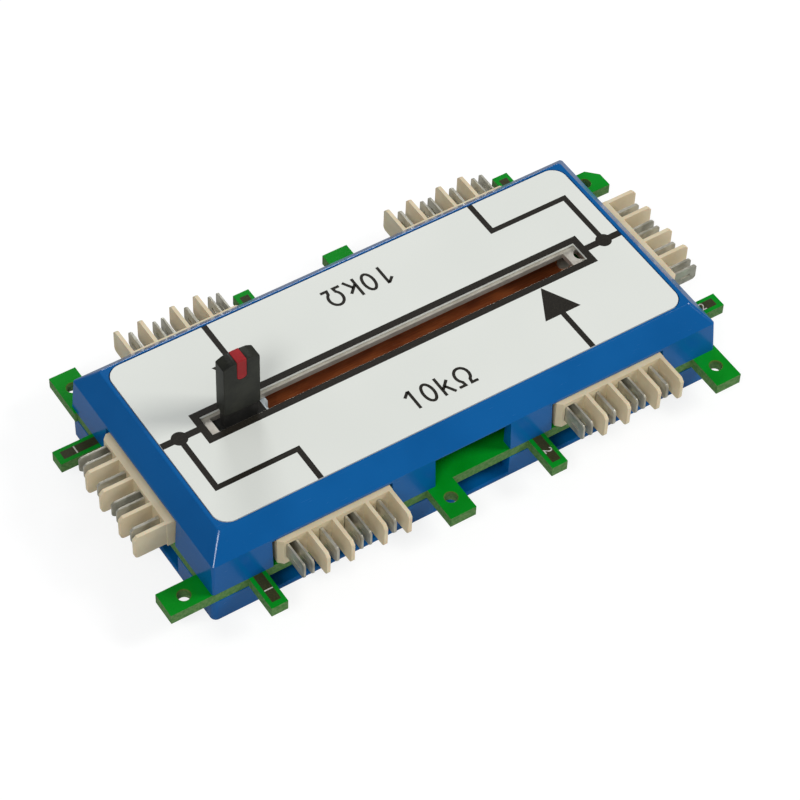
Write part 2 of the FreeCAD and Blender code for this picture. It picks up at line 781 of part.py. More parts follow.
def make_track_board():
    body = pot_body("track_board")
    outline = new_sketch(body, offset=size["track_board_lift"])
    origin = (as_size(0), as_size(0))
    centred_rectangle(outline, origin, track_board_length, 2 * cover_inner_half)
    pad(body, outline, size["track_board_thickness"])
    holes = new_sketch(body, offset=track_board_top)
    for point in pin_points():
        circle(holes, point, size["pin_diameter"])
    pocket(body, holes, size["track_board_thickness"])
    return body


def make_track(label, away, width):
    body = pot_body(label)
    strip = new_sketch(body, offset=track_board_top)
    middle = (as_size(0), away * track_place)
    centred_rectangle(strip, middle, track_length, width)
    pad(body, strip, size["track_thickness"])
    return body


def make_terminals():
    body = pot_body("track_terminals")
    shanks = new_sketch(body, offset=track_board_top)
    for point in pin_points():
        circle(shanks, point, size["pin_diameter"])
    pad(body, shanks, track_board_top + size["board_thickness"] + size["lead_length"], reverse=True)
    heads = new_sketch(body, offset=track_board_top)
    for point in pin_points():
        circle(heads, point, size["pin_head_diameter"])
    pad(body, heads, size["pin_head_height"])
    return body


def make_solder(terminals, cover):
    """A cone of solder under the board round every pin and leg."""
    drops = []
    feet = [(point, size["pin_diameter"]) for point in pin_points()]
    feet += [(point, size["leg_width"]) for point in leg_points()]
    for point, width in feet:
        drop = doc.addObject("Part::Cone", "solder_drop")
        drop.setExpression("Radius1", (width / 2).formula)
        drop.setExpression("Radius2", (width / 2 + size["solder_width"]).formula)
        drop.setExpression("Height", size["solder_height"].formula)
        drop.setExpression("Placement.Base.x", (size["pot_shift"] + point[0]).formula)
        drop.setExpression("Placement.Base.y", point[1].formula)
        drop.setExpression("Placement.Base.z", (board_low - size["solder_height"]).formula)
        drops.append(drop)
    blank = doc.addObject("Part::MultiFuse", "solder_blank")
    blank.Shapes = drops
    renew(*drops, blank)
    return cut("solder_joints", cut("solder_round_pins", blank, terminals), cover)


# The slider
def slider_body(label):
    return new_body(label, x=slider_rest, z=board_top)


carriage_low = track_top + size["carriage_gap"]
carriage_high = cover_underside - size["carriage_gap"]
label_top = rim_height
knob_low = label_top + size["knob_clearance"]
knob_high = knob_low + size["knob_height"]


def make_lever():
    """A foot in the carriage, a neck through the slot and a tongue up into the knob."""
    body = slider_body("slider_lever")
    low = carriage_high - size["lever_root"]
    stages = [
        (size["lever_foot_length"], size["lever_foot_width"], carriage_high),
        (size["lever_neck_width"], size["lever_thickness"], knob_low),
        (size["lever_width"], size["lever_thickness"], knob_low + size["knob_bore_depth"]),
    ]
    for length, width, high in stages:
        outline = new_sketch(body, offset=low)
        centred_rectangle(outline, (as_size(0), as_size(0)), length, width)
        pad(body, outline, high - low)
    return body


def make_carriage(lever):
    blank = slider_body("carriage_blank")
    origin = (as_size(0), as_size(0))
    outline = new_sketch(blank, offset=carriage_low)
    width = 2 * (cover_inner_half - size["carriage_gap"])
    centred_rectangle(outline, origin, size["carriage_length"], width)
    pad(blank, outline, carriage_high - carriage_low)
    dress(blank, "Fillet", size["carriage_gap"] * 2, lambda edge: near(edge.BoundBox.ZMax, carriage_high.value))
    hollow = new_sketch(blank, offset=carriage_low)
    centred_rectangle(hollow, origin, size["carriage_cavity_length"], size["carriage_cavity_width"])
    pocket(blank, hollow, size["carriage_cavity_height"], reverse=True)
    notches = new_sketch(blank, offset=carriage_high)
    for away in (-1, 1):
        circle(notches, (away * size["carriage_length"] / 2, as_size(0)), size["carriage_notch"])
    pocket(blank, notches, size["lever_root"])
    return cut("slider_carriage", blank, lever)


def cut(label, base, tool):
    made = doc.addObject("Part::Cut", label)
    made.Label = label
    made.Base = base
    made.Tool = tool
    renew(made)
    return made


def make_wipers():
    """Two spring arms, held flat under the carriage, whose bent tips run on the tracks."""
    body = slider_body("wiper_springs")
    high = carriage_low + size["carriage_cavity_height"]
    low = track_top + size["wiper_gap"]
    thick = size["wiper_sheet"]
    half = size["carriage_cavity_length"] / 2 - thick
    profile = [
        (-half, high),
        (half, high),
        (half, high - thick),
        (thick - half, high - thick),
        (thick * 2, low + thick),
        (thick * 4, low + thick),
        (thick * 6, low + thick * 2.5),
        (thick * 7, low + thick * 2),
        (thick * 5, low),
        (thick * 1.5, low),
        (-half, high - thick),
    ]
    arm = new_sketch(body, "XZ_Plane", offset=track_place)
    polygon(arm, profile)
    made = pad(body, arm, size["wiper_width"], both_ways=True)
    mirror(body, [made], "XZ_Plane")
    return body


def make_marker():
    body = slider_body("knob_marker")
    half_depth = size["knob_depth"] / 2
    inset = size["marker_depth"]
    low = knob_high - size["marker_drop"]
    top = knob_high
    profile = [
        (-half_depth, low),
        (inset - half_depth, low),
        (inset - half_depth, top - inset),
        (half_depth - inset, top - inset),
        (half_depth - inset, low),
        (half_depth, low),
        (half_depth, top),
        (-half_depth, top),
    ]
    bow = new_sketch(body, "YZ_Plane")
    polygon(bow, profile)
    pad(body, bow, size["marker_width"], both_ways=True)

    def on_lower_end(edge):
        box = edge.BoundBox
        return lies_at(edge, low.value) and near(box.XMin, box.XMax)

    dress(body, "Fillet", size["marker_round"], on_lower_end)
    return body


def make_knob(lever, marker):
    blank = slider_body("knob_blank")
    half = size["knob_width"] / 2
    shoulder = knob_high - size["knob_crown"]
    inner = half - size["knob_shoulder_run"]
    side_top = shoulder - size["knob_shoulder_drop"]
    outline = new_sketch(blank, "XZ_Plane")
    points = [
        (-inner, shoulder),
        (-half, side_top),
        (-half, knob_low),
        (half, knob_low),
        (half, side_top),
        (inner, shoulder),
    ]
    lines = []
    for start, end in zip(points, points[1:]):
        line = outline.addGeometry(Part.LineSegment(flat(start), flat(end)), False)
        pin(outline, line, 1, start)
        if lines:
            outline.addConstraint(Sketcher.Constraint("Coincident", lines[-1], 2, line, 1))
        lines.append(line)
    pin(outline, lines[-1], 2, points[-1])
    crown_radius = (inner * inner + size["knob_crown"] * size["knob_crown"]) / (2 * size["knob_crown"])
    crown = Part.Arc(flat(points[-1]), Vector(0, knob_high.value, 0), flat(points[0]))
    arc = outline.addGeometry(crown, False)
    outline.addConstraint(Sketcher.Constraint("Coincident", arc, 1, lines[-1], 2))
    outline.addConstraint(Sketcher.Constraint("Coincident", arc, 2, lines[0], 1))
    tie(outline, "Radius", (arc,), crown_radius)
    pad(blank, outline, size["knob_depth"], both_ways=True)
    bored = cut("knob_bored", blank, lever)
    return cut("knob", bored, marker)


# Build every piece
lever = make_lever()
marker = make_marker()
pieces = [make_lower_shell(), make_circuit_board(), make_upper_shell(), make_face_label()]
for side in SIDES:
    pieces += [make_housing(side), make_forks(side), make_blades(side)]
cover = make_steel_cover()
terminals = make_terminals()
pieces += [
    cover,
    make_track_board(),
    make_track("resistive_track", 1, size["resistive_width"]),
    make_track("collector_track", -1, size["collector_width"]),
    terminals,
    make_solder(terminals, cover),
    make_carriage(lever),
    make_wipers(),
    lever,
    make_knob(lever, marker),
    marker,
]
doc.recompute()

# Check the document, then write the pieces
for item in doc.Objects:
    faults = [word for word in item.State if word in ("Invalid", "Error")]
    if faults:
        raise ValueError("%s in %s: %s" % (item.Name, item.Label, faults))
os.makedirs("parts", exist_ok=True)
for piece in pieces:
    shape = piece.Shape
    if shape.isNull() or not shape.isValid():
        raise ValueError("%s has no valid shape" % piece.Label)
    shape.exportStep("parts/%s.step" % piece.Label)
    print("%-32s solids %d  volume %9.2f" % (piece.Label, len(shape.Solids), shape.Volume))
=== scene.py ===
# %% [markdown]
# # A slide potentiometer in a plug-together block
#
# The real block is two glossy blue mouldings that clamp a green circuit board. Ivory connectors
# stand round its edge, and a printed label on top has a long opening, in which a black knob slides.
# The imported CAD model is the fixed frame. This lesson gives each of its pieces a finish, softens
# its edges with real bevels, leans the upper shell's sides as in the photo, and adds the print,
# which is too thin for the CAD model.

import json
import math

import bmesh
import bpy
from mathutils import Matrix, Vector


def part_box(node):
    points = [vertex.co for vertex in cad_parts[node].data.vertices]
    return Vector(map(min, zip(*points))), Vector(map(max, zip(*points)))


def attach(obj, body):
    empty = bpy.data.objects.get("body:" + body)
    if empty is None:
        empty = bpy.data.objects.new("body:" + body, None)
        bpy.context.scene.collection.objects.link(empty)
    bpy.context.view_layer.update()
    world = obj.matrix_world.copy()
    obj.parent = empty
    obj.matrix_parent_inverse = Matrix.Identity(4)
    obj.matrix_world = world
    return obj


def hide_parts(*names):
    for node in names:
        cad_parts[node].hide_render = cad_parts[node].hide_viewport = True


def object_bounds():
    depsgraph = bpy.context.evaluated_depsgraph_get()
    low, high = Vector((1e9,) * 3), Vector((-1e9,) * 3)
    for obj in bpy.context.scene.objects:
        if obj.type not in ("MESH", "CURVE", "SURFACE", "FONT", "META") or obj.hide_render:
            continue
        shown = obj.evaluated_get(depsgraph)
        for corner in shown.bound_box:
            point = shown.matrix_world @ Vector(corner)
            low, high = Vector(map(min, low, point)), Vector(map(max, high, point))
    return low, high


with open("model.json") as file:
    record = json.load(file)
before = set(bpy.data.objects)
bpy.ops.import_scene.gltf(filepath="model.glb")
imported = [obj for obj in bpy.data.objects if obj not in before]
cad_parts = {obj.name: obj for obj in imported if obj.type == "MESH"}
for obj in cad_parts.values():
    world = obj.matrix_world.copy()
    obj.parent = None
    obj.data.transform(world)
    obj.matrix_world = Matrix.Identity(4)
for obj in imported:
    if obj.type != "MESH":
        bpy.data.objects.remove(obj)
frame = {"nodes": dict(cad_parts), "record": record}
cad_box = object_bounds()
MM = 0.001


def in_mm(*lengths):
    """Lengths in millimetres, rounded for a print."""
    return [round(length / MM, 2) for length in lengths]


print("nodes", len(frame["nodes"]), "box mm", in_mm(*cad_box[0], *cad_box[1]))


# %% [markdown]
# ## Where the print goes
#
# Every place on the block follows from the frame: the label's top is what the print lies on, and
# the tabs are where the board's own box ends. Reading them from the nodes keeps the print in place
# when the CAD model changes a little.

# %% Places read from the frame
label_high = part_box("face_label")[1]
board_low, board_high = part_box("circuit_board")
shell_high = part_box("upper_shell")[1]
label_top = label_high.z
board_top = board_high.z
tab_reach = board_high.y
HALF_GRID = 20.0 * MM
print("label top, board top and tab reach in mm", in_mm(label_top, board_top, tab_reach))

# Each side that carries a connector: its module, and its turn about Z from the front
SIDES = [
    ("front_left", -1, 0),
    ("front_right", 1, 0),
    ("right", 1, 90),
    ("back_right", 1, 180),
    ("back_left", -1, 180),
    ("left", -1, -90),
]


def side_matrix(module, turn):
    """From a side's own frame, where the connector looks along -Y, to the block's frame."""
    return Matrix.Translation((module * HALF_GRID, 0, 0)) @ Matrix.Rotation(math.radians(turn), 4, "Z")


# %% [markdown]
# ## Shader maths as plain expressions
#
# A material is a tree of nodes, and wiring them by hand is long to read. The small class below
# wraps one socket, so that `1 - mask * 0.5` adds its Math nodes by itself. Colours never go through
# Math nodes, which would turn them grey: they are mixed with a Mix node.

# %% One class for sockets and one for materials
EVEN = (1, 1, 1)
# Where a Mix node has its colours, since its inputs share their names with other kinds of value
MIX_FIRST = 6
MIX_SECOND = 7
MIX_RESULT = 2


class Socket:
    """A shader socket that takes part in sums."""

    def __init__(self, paint, link):
        self.paint = paint
        self.link = link

    def maths(self, operation, first, second):
        return self.paint.node("ShaderNodeMath", {"operation": operation}, {0: first, 1: second})

    def __add__(self, other):
        return self.maths("ADD", self, other)

    def __radd__(self, other):
        return self.maths("ADD", other, self)

    def __rsub__(self, other):
        return self.maths("SUBTRACT", other, self)

    def __mul__(self, other):
        return self.maths("MULTIPLY", self, other)

    def __rmul__(self, other):
        return self.maths("MULTIPLY", other, self)

    def __gt__(self, other):
        return self.maths("GREATER_THAN", self, other)

    def __lt__(self, other):
        return self.maths("LESS_THAN", self, other)


class Paint:
    """One material, with its Principled shader and the nodes that vary it."""

    def __init__(self, name, **uniform):
        self.material = bpy.data.materials.new(name)
        self.material.use_nodes = True
        self.tree = self.material.node_tree
        self.tree.nodes.clear()
        self.shader = self.tree.nodes.new("ShaderNodeBsdfPrincipled")
        output = self.tree.nodes.new("ShaderNodeOutputMaterial")
        self.tree.links.new(self.shader.outputs[0], output.inputs[0])
        for key, value in uniform.items():
            self.set(key.replace("_", " "), value)
        self.place = self.node("ShaderNodeTexCoord", output="Object")

    def node(self, kind, settings=None, inputs=None, output=0):
        made = self.tree.nodes.new(kind)
        for key, value in (settings or {}).items():
            setattr(made, key, value)
        for key, value in (inputs or {}).items():
            if isinstance(value, Socket):
                self.tree.links.new(value.link, made.inputs[key])
            else:
                made.inputs[key].default_value = value
        return Socket(self, made.outputs[output])

    def set(self, name, value):
        """Sets or links one socket of the Principled shader."""
        found = next(item for item in self.shader.inputs if item.name.lower() == name.lower())
        if isinstance(value, Socket):
            self.tree.links.new(value.link, found)
        elif isinstance(value, tuple) and len(value) == 3:
            found.default_value = (*value, 1)
        else:
            found.default_value = value

    def noise(self, size, detail=2, stretch=EVEN, turn=(0, 0, 0)):
        """A noise with blotches about size millimetres wide, drawn out along an axis by stretch."""
        scale = tuple(1 / (size * MM * part) for part in stretch)
        mapping = {"Vector": self.place, "Scale": scale, "Rotation": turn}
        vector = self.node("ShaderNodeMapping", {}, mapping)
        return self.node("ShaderNodeTexNoise", {}, {"Vector": vector, "Scale": 1.0, "Detail": detail})

    def axis(self, name):
        """One coordinate of the place on the object, in metres."""
        return self.node("ShaderNodeSeparateXYZ", {}, {"Vector": self.place}, output=name)

    def ramp(self, value, low, high, out_low=0.0, out_high=1.0):
        """Runs smoothly from out_low to out_high while the value goes from low to high."""
        inputs = {"Value": value, "From Min": low, "From Max": high}
        inputs.update({"To Min": out_low, "To Max": out_high})
        return self.node("ShaderNodeMapRange", {"interpolation_type": "SMOOTHSTEP"}, inputs)

    def mix(self, factor, first, second):
        """A colour between two."""
        first = (*first, 1) if isinstance(first, tuple) else first
        second = (*second, 1) if isinstance(second, tuple) else second
        inputs = {0: factor, MIX_FIRST: first, MIX_SECOND: second}
        return self.node("ShaderNodeMix", {"data_type": "RGBA"}, inputs, output=MIX_RESULT)

    def bump(self, height, depth):
        """Relief of about depth millimetres."""
        inputs = {"Height": height, "Distance": depth * MM, "Strength": 1.0}
        self.set("Normal", self.node("ShaderNodeBump", {}, inputs))


# %% [markdown]
# ## Glossy blue moulding
#
# The shells are polished plastic. The lamps show in them as soft bright patches, so the roughness
# is low. Moulded plastic is never quite even: a slow cloud shifts the blue a little, fine scratches
# roughen the gloss, and a very shallow ripple bends the reflections.

# %% Shell finish
def shell_finish():
    paint = Paint("blue_shell", IOR=1.5)
    cloud = paint.noise(14, detail=3)
    speck = paint.noise(0.5, detail=4)
    scratch = paint.noise(0.12, detail=2, stretch=(14, 1, 1), turn=(0, 0, 0.5))
    blue = paint.mix(paint.ramp(cloud, 0.35, 0.65), (0.0005, 0.093, 0.305), (0.0015, 0.108, 0.345))
    dusty = paint.mix(paint.ramp(speck, 0.62, 0.75, 0.0, 0.05), blue, (0.06, 0.16, 0.34))
    paint.set("Base Color", dusty)
    paint.set("Roughness", 0.15 + 0.08 * cloud + paint.ramp(scratch, 0.66, 0.76, 0.0, 0.10))
    paint.bump(paint.noise(5, detail=2) + 0.1 * speck, 0.012)
    return paint.material


# %% [markdown]
# ## Satin printed film and its ink
#
# The label is a thin sheet with a matt lacquer. Its fibre-like grain is too fine to see as shapes,
# but it keeps the white from looking like a flat fill. The ink is a warm black that lies on it. It
# mirrors less than the film, so that it stays dark under the lamps.

# %% Label and ink finishes
def label_finish():
    paint = Paint("label_film", IOR=1.45)
    cloud = paint.noise(22, detail=2)
    grain = paint.noise(0.16, detail=3)
    white = paint.mix(paint.ramp(cloud, 0.3, 0.7), (0.745, 0.765, 0.712), (0.775, 0.792, 0.738))
    fibres = paint.ramp(grain, 0.3, 0.7, 0.0, 0.12)
    paint.set("Base Color", paint.mix(fibres, white, (0.66, 0.67, 0.64)))
    paint.set("Roughness", 0.42 + 0.14 * grain)
    paint.bump(grain, 0.004)
    return paint.material


def ink_finish(name, dark, light):
    paint = Paint(name, IOR=1.45, Specular_IOR_Level=0.25)
    grain = paint.noise(0.2, detail=3)
    paint.set("Base Color", paint.mix(paint.ramp(grain, 0.35, 0.75), dark, light))
    paint.set("Roughness", 0.40 + 0.18 * grain)
    paint.bump(grain, 0.003)
    return paint.material


# %% [markdown]
# ## Ivory connector plastic
#
# The connector bodies are a filled engineering plastic that has yellowed a little in patches. A
# soft cloud carries the yellowing, and a fine grain gives the dull sheen of glass-filled material.

# %% Connector plastic finish
def ivory_finish():
    paint = Paint("ivory_plastic", IOR=1.5, Subsurface_Weight=0.12, Subsurface_Scale=0.0006)
    cloud = paint.noise(3.2, detail=3)
    grain = paint.noise(0.14, detail=3)
    pale = paint.mix(paint.ramp(cloud, 0.3, 0.7), (0.665, 0.555, 0.360), (0.720, 0.620, 0.425))
    specks = paint.ramp(grain, 0.55, 0.8, 0.0, 0.25)
    paint.set("Base Color", paint.mix(specks, pale, (0.58, 0.47, 0.33)))
    paint.set("Roughness", 0.40 + 0.20 * grain)
    paint.bump(grain, 0.006)
    return paint.material


# %% [markdown]
# ## Rolled and tinned metal
#
# Contacts and cover are stamped from rolled sheet, so their finest marks run one way. A noise
# stretched along the rolling direction, used for roughness and a shallow relief, gives that. A slow
# cloud adds the dull patches of tin. A metal shows only what it mirrors, and a room is brighter
# than this studio, so contacts and cover are not made fully metallic: the rest of their light comes
# from their own colour.

# %% Sheet metal finish
def sheet_finish(name, bright, dull, rolling, rough, metallic=1.0):
    paint = Paint(name, Metallic=metallic)
    streak = paint.noise(0.07, detail=3, stretch=rolling)
    patch = paint.noise(1.6, detail=3)
    paint.set("Base Color", paint.mix(paint.ramp(patch, 0.35, 0.7), bright, dull))
    paint.set("Roughness", rough + 0.16 * patch + paint.ramp(streak, 0.4, 0.7, 0.0, 0.12))
    paint.bump(streak, 0.005)
    return paint.material


# %% [markdown]
# ## Circuit board
#
# A board has three looks in one piece: smooth green solder mask above and below, a rough greyer
# edge where the glass laminate is cut, and a brownish ring where the mask stops short of each hole.
# Height tells mask from edge, and the distance from the hole centres draws the rings. The mask's
# mirror is weak, as in the photo.

# %% Board finish
TAB_HOLE_PLACE = 15.2 * MM
TAB_HOLE_REACH = 19.5 * MM
MASK_RING = 0.95 * MM
RING_FADE = 0.10 * MM
RING_SHARE = 0.35
MASK_SKIN = 0.03 * MM


def board_finish():
    paint = Paint("green_board", IOR=1.5, Specular_IOR_Level=0.25)
    cloud = paint.noise(6, detail=3)
    weave = paint.noise(0.35)
    height = paint.axis("Z")
    on_face = (height > board_top - MASK_SKIN) + (height < board_low.z + MASK_SKIN)
    green = paint.mix(paint.ramp(cloud, 0.3, 0.7), (0.000, 0.225, 0.009), (0.001, 0.280, 0.016))
    edge = paint.mix(paint.ramp(weave, 0.35, 0.65), (0.060, 0.185, 0.040), (0.120, 0.240, 0.072))
    ring = 0.0
    for _, module, turn in SIDES:
        centre = side_matrix(module, turn) @ Vector((TAB_HOLE_PLACE, -TAB_HOLE_REACH, board_top))
        ends = {0: paint.place, 1: tuple(centre)}
        distance = paint.node("ShaderNodeVectorMath", {"operation": "DISTANCE"}, ends, output="Value")
        ring = ring + paint.ramp(distance, MASK_RING - RING_FADE, MASK_RING, 1.0, 0.0)
    masked = paint.mix(on_face, edge, green)
    paint.set("Base Color", paint.mix(ring * RING_SHARE, masked, (0.200, 0.110, 0.020)))
    paint.set("Roughness", 0.62 - 0.38 * on_face)
    paint.bump(weave + cloud * 0.5, 0.010)
    return paint.material


# %% [markdown]
# ## Inside the slot
#
# Through the slot one sees the carbon track on brown phenolic board. Both have marks along the
# travel: the wiper has polished them. The stretch of the noise is therefore along X. The carriage,
# the lever and the knob are small mouldings, and a fine even grain is enough for them. The knob and
# its marker mirror little, so that they stay dark.

# %% Track and small plastic finishes
ALONG_X = (30, 1, 1)


def track_finish(name, dark, light, rough):
    paint = Paint(name)
    streak = paint.noise(0.12, detail=4, stretch=ALONG_X)
    blotch = paint.noise(1.4, detail=3, stretch=(3, 1, 1))
    paint.set("Base Color", paint.mix(paint.ramp(streak * 0.5 + blotch * 0.5, 0.36, 0.64), dark, light))
    paint.set("Roughness", rough + 0.2 * streak)
    paint.bump(streak, 0.01)
    return paint.material


def plastic_finish(name, dark, light, rough, grain_size=0.18, relief=0.008, shine=0.5):
    paint = Paint(name, IOR=1.5, Specular_IOR_Level=shine)
    cloud = paint.noise(2.5, detail=3)
    grain = paint.noise(grain_size, detail=3)
    paint.set("Base Color", paint.mix(paint.ramp(cloud * 0.6 + grain * 0.4, 0.35, 0.65), dark, light))
    paint.set("Roughness", rough + 0.15 * grain)
    paint.bump(grain, relief)
    return paint.material


# %% Every finish by its material slot
# Each line has two colours that a noise mixes and then, for sheet metal, the stretch of its marks
CONTACT_MARKS = (1, 12, 1)
SPRING_MARKS = (12, 1, 1)
FINISHES = {
    "shell": shell_finish(),
    "board": board_finish(),
    "label": label_finish(),
    "housing": ivory_finish(),
    "contact": sheet_finish(
        "tinned_contact", (0.68, 0.66, 0.56), (0.44, 0.42, 0.34), CONTACT_MARKS, 0.24, metallic=0.6
    ),
    "cover": sheet_finish(
        "plated_steel", (0.80, 0.76, 0.68), (0.66, 0.62, 0.54), ALONG_X, 0.34, metallic=0.75
    ),
    "track_board": track_finish("phenolic_board", (0.300, 0.075, 0.016), (0.460, 0.150, 0.040), 0.45),
    "track": track_finish("carbon_track", (0.160, 0.035, 0.009), (0.300, 0.080, 0.020), 0.32),
    "solder": sheet_finish("solder_metal", (0.70, 0.70, 0.70), (0.52, 0.52, 0.52), EVEN, 0.18),
    "carriage": plastic_finish("acetal", (0.44, 0.50, 0.53), (0.58, 0.63, 0.65), 0.38),
    "spring": sheet_finish("spring_bronze", (0.74, 0.56, 0.30), (0.55, 0.38, 0.18), SPRING_MARKS, 0.25),
    "lever": plastic_finish("lever_plastic", (0.012, 0.012, 0.011), (0.026, 0.026, 0.024), 0.40),
    "knob": plastic_finish(
        "knob_plastic", (0.012, 0.013, 0.010), (0.025, 0.026, 0.019), 0.40, 0.22, 0.014, shine=0.25
    ),
    "marker": plastic_finish(
        "red_plastic", (0.250, 0.005, 0.008), (0.350, 0.010, 0.014), 0.40, shine=0.25
    ),
}
INK = ink_finish("warm_black_ink", (0.013, 0.011, 0.008), (0.027, 0.023, 0.016))
STRIP_INK = ink_finish("board_strip_ink", (0.030, 0.035, 0.010), (0.052, 0.050, 0.018))
DIGIT_INK = ink_finish("white_ink", (0.50, 0.49, 0.42), (0.72, 0.70, 0.62))
print("finishes", len(FINISHES), "inks", [ink.name for ink in (INK, STRIP_INK, DIGIT_INK)])


# %% [markdown]
# ## New pieces on the two bodies
#
# Whatever this lesson makes is a mesh of its own. It rides on the housing or on the slider, so that
# the motion carries it along, and it takes the material it is given.

# %% One helper for every new piece
node_slots = {row["node"]: row["material_slot"] for row in frame["record"]["subparts"]}
body_nodes = frame["record"]["behaviour"]["bodies"]
node_bodies = {node: body for body, nodes in body_nodes.items() for node in nodes}


def new_piece(name, bm, material, body):
    """Makes the finished object of a bmesh and lets it ride on its body."""
    mesh = bpy.data.meshes.new(name)
    bm.to_mesh(mesh)
    bm.free()
    mesh.materials.append(material)
    made = bpy.data.objects.new(name, mesh)
    bpy.context.scene.collection.objects.link(made)
    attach(made, body)
    return made


# %% [markdown]
# ## The lean of the upper shell's sides
#
# A moulding has to slide out of its mould, so its upright sides lean in. In the photo they lean by
# about 4 degrees, and the bevel above them starts lower and is steeper than in the CAD model, whose
# sides are upright. The outer skin of the rounded copy is therefore moved inwards. It stays inside
# the CAD shape, and the windows keep their heights. Moving the points one by one needs no second
# model: each knows from its height how far it has to go.

# %% The outer skin, as it is and as it should be
# All in millimetres. Heights: the windows' top, and the bevel's start in the CAD model and in the photo
WINDOW_TOP = 9.8
CAD_BREAK = 10.7
BREAK = 9.95
# How far in the rim lies: in the CAD model, and in the photo at the ends and along the long sides
CAD_RUN = 2.6
RIM_RUN_X = 2.65
RIM_RUN_Y = 2.85
# How far in the sides lean at the bevel's start
LEAN = 0.32
# Radius of the corners below the bevel and at the rim: in the CAD model, and in the photo
CAD_CORNERS = (0.8, 0.4)
CORNERS = (0.4, 0.6)
# Half the size of the area inside the rim, where nothing moves, and how deep the skin is that moves
RECESS_X = 33.66
RECESS_Y = 14.06
SKIN_DEPTH = 0.9


def between(ends, share):
    """The value at a share of the way from the first end to the second."""
    return ends[0] + (ends[1] - ends[0]) * share


def lean_sides(bm):
    """Leans the upright sides in and makes the bevel above them steeper."""
    top = shell_high.z / MM
    foot = board_top / MM
    for vert in bm.verts:
        x, y, z = (abs(part) / MM for part in vert.co)
        rise = max(0, (z - CAD_BREAK) / (top - CAD_BREAK))
        edge_x = shell_high.x / MM - CAD_RUN * rise
        edge_y = shell_high.y / MM - CAD_RUN * rise
        on_x = edge_x - x < SKIN_DEPTH
        on_y = edge_y - y < SKIN_DEPTH
        in_recess = x < RECESS_X and y < RECESS_Y
        if in_recess or not (on_x or on_y):
            continue
        if on_x and on_y:
            cad_radius = between(CAD_CORNERS, rise)
            radius = between(CORNERS, rise)
            x = edge_x - radius + (x - edge_x + cad_radius) * radius / cad_radius
            y = edge_y - radius + (y - edge_y + cad_radius) * radius / cad_radius
        if z > CAD_BREAK:
            z = between((BREAK, top), rise)
        elif z > WINDOW_TOP:
            z = between((WINDOW_TOP, BREAK), (z - WINDOW_TOP) / (CAD_BREAK - WINDOW_TOP))
        lean = LEAN * min(1, (z - foot) / (BREAK - foot))
        if on_x:
            x -= lean + (RIM_RUN_X - LEAN - CAD_RUN) * rise
        if on_y:
            y -= lean + (RIM_RUN_Y - LEAN - CAD_RUN) * rise
        vert.co.x = math.copysign(x * MM, vert.co.x)
        vert.co.y = math.copysign(y * MM, vert.co.y)
        vert.co.z = z * MM


# %% [markdown]
# ## Edges that catch the light
#
# No moulded or cut edge is perfectly sharp, and the thin bright line along it is what makes a
# picture of it real. A shader can fake that line, but here the shape itself is rounded: the node's
# loose triangles are merged, flat areas are joined, and every sharp edge gets a small bevel. The
# rounded copy then stands for the CAD node.

# %% Softened copies of the CAD nodes
MERGE = 0.0005 * MM
FLAT_ANGLE = math.radians(1.0)
SHARP_ANGLE = math.radians(33.0)
BEVEL_STEPS = 2


def soften(node, width):
    """A copy of a CAD node whose sharp edges are rounded, by a bevel of a width in millimetres."""
    bm = bmesh.new()
    bm.from_mesh(frame["nodes"][node].data)
    bmesh.ops.remove_doubles(bm, verts=bm.verts[:], dist=MERGE)
    bmesh.ops.dissolve_limit(bm, angle_limit=FLAT_ANGLE, verts=bm.verts[:], edges=bm.edges[:])
    sharp = [edge for edge in bm.edges if edge.is_manifold and edge.calc_face_angle() > SHARP_ANGLE]
    bmesh.ops.bevel(
        bm,
        geom=sharp,
        offset=width * MM,
        offset_type="OFFSET",
        segments=BEVEL_STEPS,
        profile=0.5,
        affect="EDGES",
        clamp_overlap=True,
        material=-1,
    )
    if node == "upper_shell":
        lean_sides(bm)
    for face in bm.faces:
        face.smooth = True
    for edge in bm.edges:
        edge.smooth = not (edge.is_manifold and edge.calc_face_angle() > SHARP_ANGLE)
    slot = node_slots[node]
    made = new_piece(node + "_soft", bm, FINISHES[slot], node_bodies[node])
    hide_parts(node)
    weighted = made.modifiers.new("weighted", "WEIGHTED_NORMAL")
    weighted.keep_sharp = True
    print(node, "sharp edges", len(sharp), "faces", len(made.data.polygons))


# %% Width of every softened edge in millimetres
EDGE_WIDTHS = {
    "upper_shell": 0.22,
    "lower_shell": 0.20,
    "circuit_board": 0.06,
    "face_label": 0.05,
    "knob": 0.14,
    "knob_marker": 0.05,
    "slider_carriage": 0.10,
    "steel_cover": 0.06,
}
for name, _, _ in SIDES:
    EDGE_WIDTHS["connector_housing_" + name] = 0.08
    EDGE_WIDTHS["fork_contacts_" + name] = 0.05
    EDGE_WIDTHS["blade_contacts_" + name] = 0.05
for node, width in EDGE_WIDTHS.items():
    soften(node, width)


# %% [markdown]
# ## Finishes for the nodes that stay
#
# The remaining nodes are small or hidden, and are right as they are. Only their material changes.

# %% Give every CAD node its finish
for node, piece in frame["nodes"].items():
    piece.data.materials.clear()
    piece.data.materials.append(FINISHES[node_slots[node]])
print("nodes as they are", sorted(set(frame["nodes"]) - set(EDGE_WIDTHS)))


# %% [markdown]
# ## The circuit symbol on the label
#
# The print shows the standard symbol of a variable resistor: a long box round the slot, a lead at
# each end, two taps and an arrow for the wiper. Thin lines could be painted in a shader, but a mesh
# keeps them crisp in any view. Each bar is a grid of one face that is scaled to size and then given
# the ink's thickness. One half is made and turned half round for the other, since the label reads
# the same from both long sides.

# %% Helpers for flat print
INK_THICKNESS = 0.02 * MM
DOT_SEGMENTS = 48


